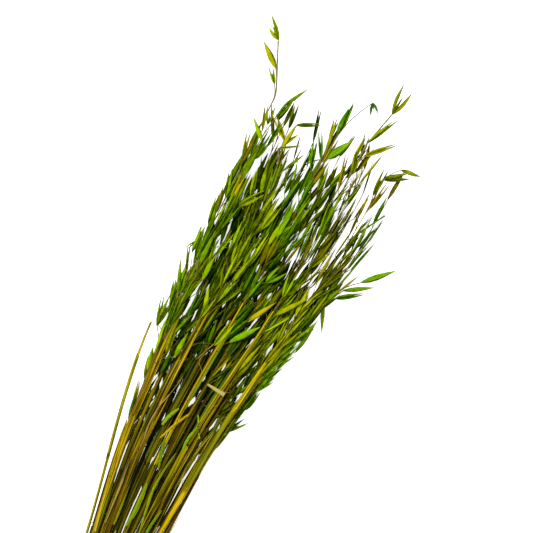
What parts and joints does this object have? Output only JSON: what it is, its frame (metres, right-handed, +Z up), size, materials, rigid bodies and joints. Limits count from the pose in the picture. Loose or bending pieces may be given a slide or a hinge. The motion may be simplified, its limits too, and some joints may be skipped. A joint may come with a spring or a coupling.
{
  "type": "dried oats bundle",
  "caption": "Lying bundle of dried oat stems with green and gold heads of pointed spikelets, held by a twine tie near the cut ends.",
  "frame": {"origin": "middle of the bundle's footprint, on the surface that it lies on", "axes": "+X along the bundle towards the tips, +Y to its left seen from above with the tips ahead, +Z up"},
  "size_m": [0.66, 0.1944, 0.0686],
  "materials": {
    "oat_green": "dry, finely ribbed, satin",
    "oat_fresh": "dry, finely ribbed, satin",
    "oat_yellow": "dry, finely ribbed, satin",
    "oat_gold": "dry, finely ribbed, satin",
    "straw_gold": "dry straw, lengthways streaks, low sheen",
    "straw_olive": "dry straw, lengthways streaks, low sheen",
    "straw_brown": "dry straw, lengthways streaks, low sheen",
    "twine": "matt twisted plant fibre"
  },
  "bodies": {
    "root": {"stem_01": "straw_gold", "head_01": "oat_green", "stem_02": "straw_olive", "head_02": "oat_fresh", "stem_03": "straw_gold", "head_03": "oat_yellow", "stem_04": "straw_brown", "head_04": "oat_green", "stem_05": "straw_gold", "head_05": "oat_gold", "stem_06": "straw_olive", "head_06": "oat_green", "stem_07": "straw_gold", "head_07": "oat_fresh", "stem_08": "straw_brown", "head_08": "oat_yellow", "stem_09": "straw_gold", "head_09": "oat_green", "stem_10": "straw_olive", "head_10": "oat_gold", "stem_11": "straw_gold", "head_11": "oat_green", "stem_12": "straw_brown", "head_12": "oat_fresh", "stem_13": "straw_gold", "head_13": "oat_yellow", "stem_14": "straw_olive", "head_14": "oat_green", "stem_15": "straw_gold", "head_15": "oat_gold", "stem_16": "straw_brown", "head_16": "oat_green", "stem_17": "straw_gold", "head_17": "oat_fresh", "broken_stem": "straw_olive", "stem_18": "straw_gold", "head_18": "oat_green", "stem_19": "straw_brown", "head_19": "oat_gold", "stem_20": "straw_gold", "head_20": "oat_green", "stem_21": "straw_olive", "head_21": "oat_fresh", "stem_22": "straw_gold", "head_22": "oat_yellow", "stem_23": "straw_brown", "head_23": "oat_green", "stem_24": "straw_gold", "head_24": "oat_gold", "stem_25": "straw_olive", "head_25": "oat_green", "stem_26": "straw_gold", "head_26": "oat_fresh", "stem_27": "straw_brown", "head_27": "oat_yellow", "stem_28": "straw_gold", "head_28": "oat_green", "tie": "twine"}
  },
  "joints": []
}
